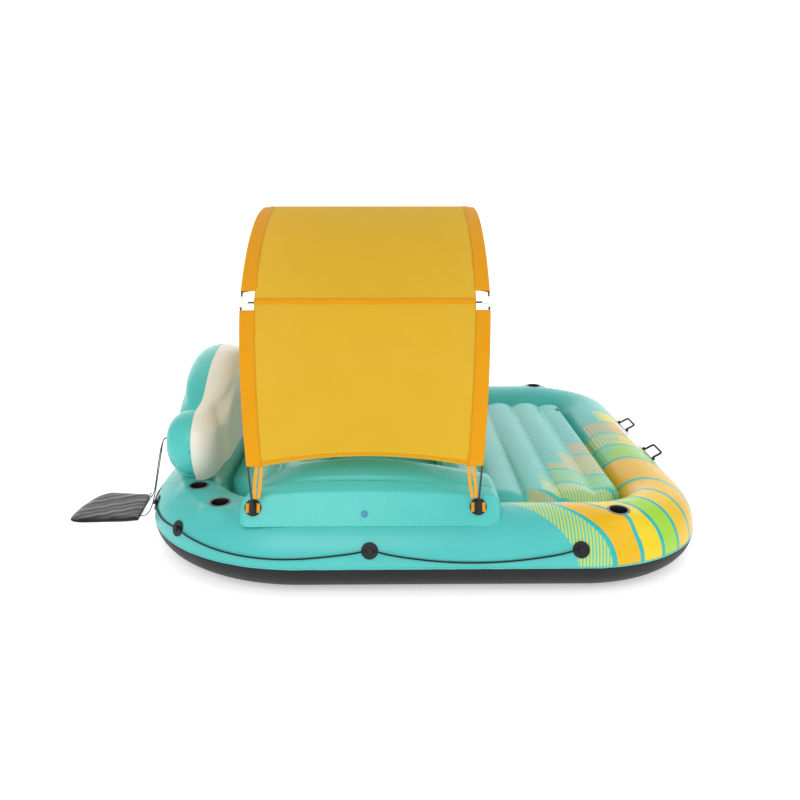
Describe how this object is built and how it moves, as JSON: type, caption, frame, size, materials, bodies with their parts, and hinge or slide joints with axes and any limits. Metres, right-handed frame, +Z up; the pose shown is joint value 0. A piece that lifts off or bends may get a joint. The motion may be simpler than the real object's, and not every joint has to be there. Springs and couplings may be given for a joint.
{
  "type": "inflatable floating lounge island",
  "caption": "Inflatable floating lounge island: ring tube with sun deck, rear seat, cloud backrest, side bolsters, arched sun canopy, cup holders, grab rope and ballast bag.",
  "frame": {"origin": "on the floor under the middle of the island's box, without its ballast line", "axes": "+X towards the sun deck's front rim, +Y towards the far side (starboard seen from the backrest is -Y), +Z up"},
  "size_m": [3.485, 2.6654, 1.7599],
  "materials": {
    "teal_film": "gloss",
    "black_film": "satin",
    "white_film": "gloss",
    "black_fitting": "satin",
    "clear_valve": "gloss",
    "black_rope": "matte",
    "canopy_pole": "satin",
    "white_tee": "satin",
    "canopy_cloth": "matte",
    "amber_webbing": "matte",
    "pale_patch": "gloss",
    "bag_vinyl": "gloss"
  },
  "bodies": {
    "root": {"hull_tube": "teal_film", "hull_underside": "black_film", "sun_deck": "teal_film", "rear_seat": "teal_film", "footwell_floor": "teal_film", "near_bolster": "teal_film", "far_bolster": "teal_film", "backrest_front": "white_film", "backrest_back": "teal_film", "near_rear_cup": "black_fitting", "near_corner_cup": "black_fitting", "near_front_cup": "black_fitting", "far_rear_cup": "black_fitting", "far_corner_cup": "black_fitting", "far_front_cup": "black_fitting", "valve_bases": "clear_valve", "rope_guides": "black_fitting", "grab_rope": "black_rope", "handle_patches": "black_fitting", "boarding_patch": "pale_patch", "canopy_bases": "black_fitting", "near_rear_foot": "black_fitting", "near_front_foot": "black_fitting", "far_rear_foot": "black_fitting", "far_front_foot": "black_fitting", "lash_loops": "amber_webbing", "ballast_anchor": "black_fitting", "ballast_bag": "bag_vinyl", "near_ballast_cord": "black_rope", "far_ballast_cord": "black_rope"},
    "canopy": {"near_rear_lower_pole": "canopy_pole", "near_front_lower_pole": "canopy_pole", "far_rear_lower_pole": "canopy_pole", "far_front_lower_pole": "canopy_pole", "near_rear_upper_pole": "canopy_pole", "near_front_upper_pole": "canopy_pole", "far_rear_upper_pole": "canopy_pole", "far_front_upper_pole": "canopy_pole", "near_rear_tee": "white_tee", "near_front_tee": "white_tee", "far_rear_tee": "white_tee", "far_front_tee": "white_tee", "rear_ridge_tee": "white_tee", "front_ridge_tee": "white_tee", "near_cross_bar": "canopy_pole", "ridge_cross_bar": "canopy_pole", "far_cross_bar": "canopy_pole", "canopy_sheet": "canopy_cloth", "canopy_straps": "amber_webbing"},
    "near_handle": {"near_handle": "black_fitting"},
    "far_handle": {"far_handle": "black_fitting"},
    "hull_valve_cap": {"hull_valve_cap": "clear_valve"},
    "deck_valve_cap": {"deck_valve_cap": "clear_valve"},
    "seat_valve_cap": {"seat_valve_cap": "clear_valve"},
    "near_bolster_valve_cap": {"near_bolster_valve_cap": "clear_valve"},
    "far_bolster_valve_cap": {"far_bolster_valve_cap": "clear_valve"},
    "backrest_valve_cap": {"backrest_valve_cap": "clear_valve"}
  },
  "joints": [
    {"name": "canopy_lift", "type": "slide", "parent": "root", "child": "canopy", "axis": [0, 0, 1], "range_m": [0, 0.3]},
    {"name": "near_handle_pivot", "type": "hinge", "parent": "root", "child": "near_handle", "pos_m": [1.38898, -0.262, 0.33909], "axis": [0, 1, 0], "range_deg": [-90, 30]},
    {"name": "far_handle_pivot", "type": "hinge", "parent": "root", "child": "far_handle", "pos_m": [1.38898, 0.262, 0.33909], "axis": [0, 1, 0], "range_deg": [-90, 30]},
    {"name": "hull_valve_hinge", "type": "hinge", "parent": "root", "child": "hull_valve_cap", "pos_m": [-1.05228, 0.91673, 0.3833], "axis": [1, 0, 0], "range_deg": [0, 150]},
    {"name": "deck_valve_hinge", "type": "hinge", "parent": "root", "child": "deck_valve_cap", "pos_m": [1.02975, 0.626, 0.3433], "axis": [1, 0, 0], "range_deg": [0, 150]},
    {"name": "seat_valve_hinge", "type": "hinge", "parent": "root", "child": "seat_valve_cap", "pos_m": [-0.915, 0.506, 0.3353], "axis": [1, 0, 0], "range_deg": [0, 150]},
    {"name": "near_bolster_valve_hinge", "type": "hinge", "parent": "root", "child": "near_bolster_valve_cap", "pos_m": [-0.276, -1.22285, 0.37958], "axis": [1, 0, 0], "range_deg": [0, 150]},
    {"name": "far_bolster_valve_hinge", "type": "hinge", "parent": "root", "child": "far_bolster_valve_cap", "pos_m": [-0.276, 1.22285, 0.37958], "axis": [-1, 0, 0], "range_deg": [0, 150]},
    {"name": "backrest_valve_hinge", "type": "hinge", "parent": "root", "child": "backrest_valve_cap", "pos_m": [-1.33866, 0.24, 0.506], "axis": [0, -1, 0], "range_deg": [0, 150]}
  ]
}
